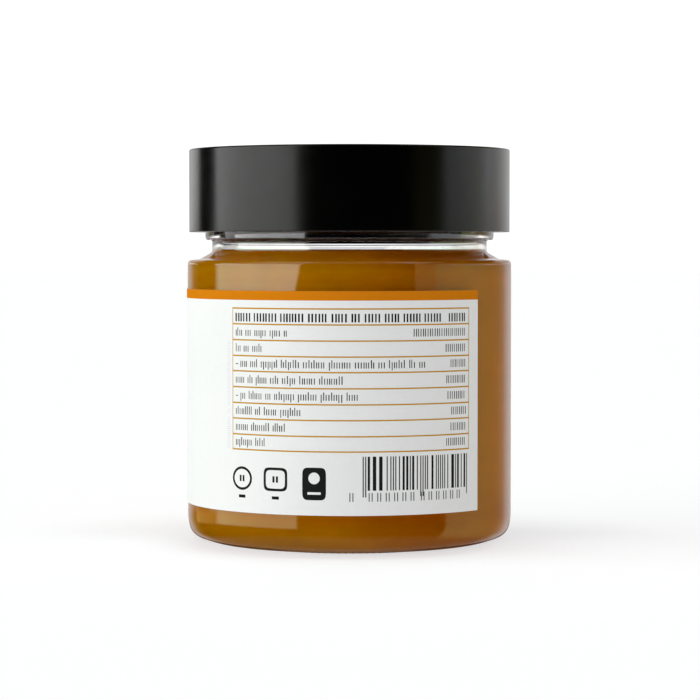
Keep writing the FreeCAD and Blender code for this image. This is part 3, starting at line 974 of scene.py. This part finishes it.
# floor
floor_mesh = bpy.data.meshes.new("floor")
n = 96
ring = [(6.0 * math.cos(2 * math.pi * k / n), 6.0 * math.sin(2 * math.pi * k / n), -0.00003)
        for k in range(n)]
floor_mesh.from_pydata(ring, [], [list(range(n))])
floor = bpy.data.objects.new("floor", floor_mesh)
scene.collection.objects.link(floor)
floor_mat, nt, bsdf, out = material("floor_white")
bsdf.inputs["Base Color"].default_value = (0.50, 0.50, 0.50, 1)
bsdf.inputs["Roughness"].default_value = 0.9
bsdf.inputs["Specular IOR Level"].default_value = 0.0
bsdf.inputs["Emission Color"].default_value = (1, 1, 1, 1)
bsdf.inputs["Emission Strength"].default_value = 0.61
# painted shadow and light: the floor's own glow is painted almost black under the middle of the jar, a touch brighter
# round its foot, and even further out
where = nt.nodes.new("ShaderNodeTexCoord")
span = nt.nodes.new("ShaderNodeVectorMath")
span.operation = "LENGTH"
nt.links.new(where.outputs["Object"], span.inputs[0])
far = maths(nt, "MULTIPLY", span.outputs["Value"], 10.0)
floor_glow_painted_shadow = ramp(nt, far, [(0.0, (0.0, 0.0, 0.0)), (0.216, (0.02, 0.02, 0.02)), (0.234, (1.0, 1.01, 1.04)),
                          (0.27, (1.0, 1.01, 1.05)), (0.33, (0.97, 0.975, 1.0)),
                          (0.40, (0.95, 0.95, 0.97)), (0.60, (0.96, 0.96, 0.98))])
# a painted soft shadow beside and behind the jar, darkening the floor's own glow
where_x = nt.nodes.new("ShaderNodeSeparateXYZ")
nt.links.new(where.outputs["Object"], where_x.inputs[0])
shade = maths(nt, "MULTIPLY", gate(where_x.outputs[1], 0.006, 9.0, 0.022, 1.0),
              gate(span.outputs["Value"], -1.0, 0.060, 1.0, 0.032))
shade = maths(nt, "MULTIPLY_ADD", shade, -0.14)
shade.node.inputs[2].default_value = 1.0
darker = nt.nodes.new("ShaderNodeMix")
darker.data_type = "RGBA"
darker.blend_type = "MULTIPLY"
darker.inputs["Factor"].default_value = 1.0
nt.links.new(floor_glow_painted_shadow, darker.inputs["A"])
nt.links.new(shade, darker.inputs["B"])
floor_glow_painted_shadow = darker.outputs["Result"]
# painted shadow for rays through the glass: seen through the thick base, the dark patch painted under the jar reaches
# a little further out
through = ramp(nt, far, [(0.0, (0.0, 0.0, 0.0)), (0.30, (0.02, 0.02, 0.02)), (0.36, (0.60, 0.60, 0.60)),
                         (0.42, (0.95, 0.95, 0.97))])
seen = nt.nodes.new("ShaderNodeMix")
seen.data_type = "RGBA"
beam = nt.nodes.new("ShaderNodeLightPath")
nt.links.new(beam.outputs["Is Transmission Ray"], seen.inputs["Factor"])
nt.links.new(floor_glow_painted_shadow, seen.inputs["A"])
nt.links.new(through, seen.inputs["B"])
nt.links.new(seen.outputs["Result"], bsdf.inputs["Emission Color"])
floor.data.materials.append(floor_mat)
floor.visible_glossy = False
floor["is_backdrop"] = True

# what the underside of the neck's ring mirrors: the pale table a little way off
card_mesh = bpy.data.meshes.new("table_glow")
n = 72
ring = [(r * math.cos(2 * math.pi * k / n), r * math.sin(2 * math.pi * k / n), 0.040)
        for r in (0.050, 0.115) for k in range(n)]
card_mesh.from_pydata(ring, [], [(k, (k + 1) % n, n + (k + 1) % n, n + k) for k in range(n)])
card = bpy.data.objects.new("table_glow", card_mesh)
scene.collection.objects.link(card)
card_mat = bpy.data.materials.new("table_glow")
card_mat.use_nodes = True
card_mat.node_tree.nodes.clear()
glow = card_mat.node_tree.nodes.new("ShaderNodeEmission")
glow.inputs["Color"].default_value = (1.0, 0.92, 0.95, 1)
# only steep rays find it: the jar's straight wall, which looks along it, does not
slant = card_mat.node_tree.nodes.new("ShaderNodeLayerWeight")
slant.inputs["Blend"].default_value = 0.5
steep = maths(card_mat.node_tree, "MULTIPLY_ADD", slant.outputs["Facing"], -12.0, clamp=True)
steep.node.inputs[2].default_value = 11.0
glow.inputs["Strength"].default_value = 1.9
clear = card_mat.node_tree.nodes.new("ShaderNodeBsdfTransparent")
blend = card_mat.node_tree.nodes.new("ShaderNodeMixShader")
card_mat.node_tree.links.new(steep, blend.inputs[0])
card_mat.node_tree.links.new(clear.outputs[0], blend.inputs[1])
card_mat.node_tree.links.new(glow.outputs[0], blend.inputs[2])
glow_out = card_mat.node_tree.nodes.new("ShaderNodeOutputMaterial")
card_mat.node_tree.links.new(blend.outputs[0], glow_out.inputs["Surface"])
card.data.materials.append(card_mat)
card.visible_camera = False
card.visible_diffuse = False
card.visible_transmission = False
card.visible_shadow = False
card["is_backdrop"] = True

scene.view_settings.view_transform = "Standard"
scene.view_settings.look = "None"
scene.view_settings.exposure = 0.0
scene.view_settings.gamma = 1.0
scene.cycles.max_bounces = 16
scene.cycles.transmission_bounces = 16
scene.cycles.glossy_bounces = 6
scene.cycles.diffuse_bounces = 4
scene.cycles.transparent_max_bounces = 16
scene.cycles.sample_clamp_indirect = 6.0


# ---------------------------------------------------------------- onto the body, in place of the CAD nodes
for piece, node, slot in (
    (glass, "glass_jar", "glass"),
    (chutney, "chutney", "chutney"),
    (cap, "cap", "black_lacquer"),
    (label, "label", "label_paper"),
):
    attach(piece, "root")
    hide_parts(node)

low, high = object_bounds()
